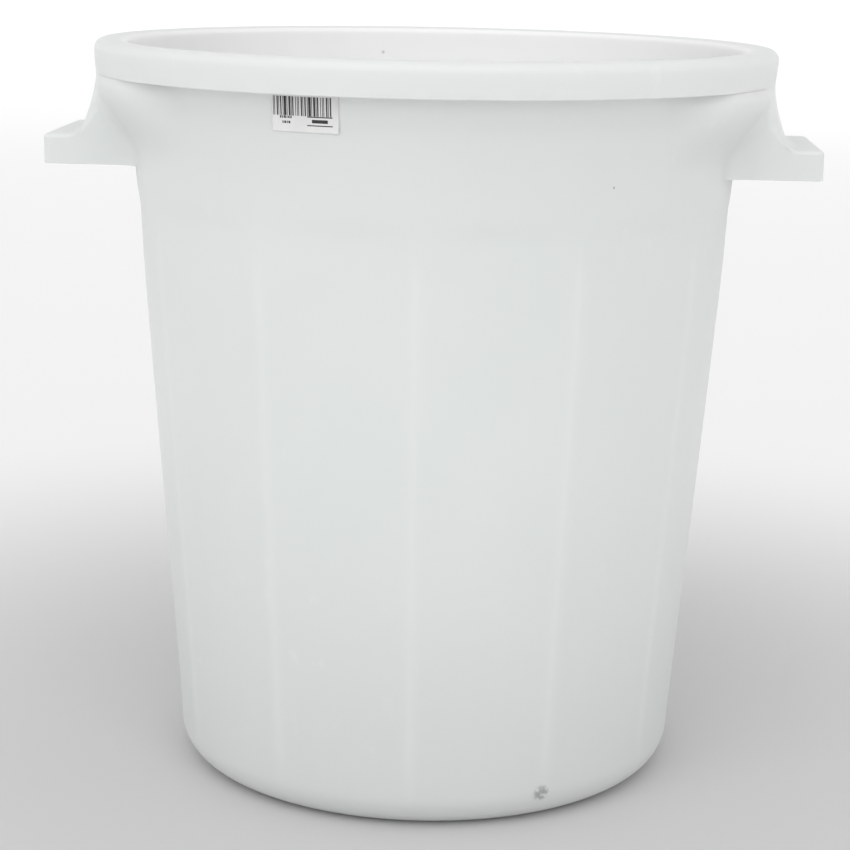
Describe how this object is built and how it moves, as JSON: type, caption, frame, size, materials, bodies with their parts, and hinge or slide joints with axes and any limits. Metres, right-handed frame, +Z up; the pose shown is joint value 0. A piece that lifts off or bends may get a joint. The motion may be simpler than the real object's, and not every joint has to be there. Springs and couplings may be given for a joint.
{
  "type": "plastic open head drum",
  "caption": "Round open-topped plastic drum with a tapered panelled wall, a rounded foot, a rolled rim and moulded grip lugs under hoods.",
  "frame": {"origin": "on the ground under the middle of the foot", "axes": "+Z up out of the mouth, +X through the right grip, -Y towards the viewer and the label's side"},
  "size_m": [0.505, 0.449, 0.488],
  "materials": {
    "polyethylene": "satin, slightly translucent white",
    "label_paper": "coated paper with black print"
  },
  "bodies": {
    "root": {"drum_base": "polyethylene", "drum_wall": "polyethylene", "rim_band": "polyethylene", "handle_right": "polyethylene", "handle_left": "polyethylene", "barcode_label": "label_paper"}
  },
  "joints": []
}
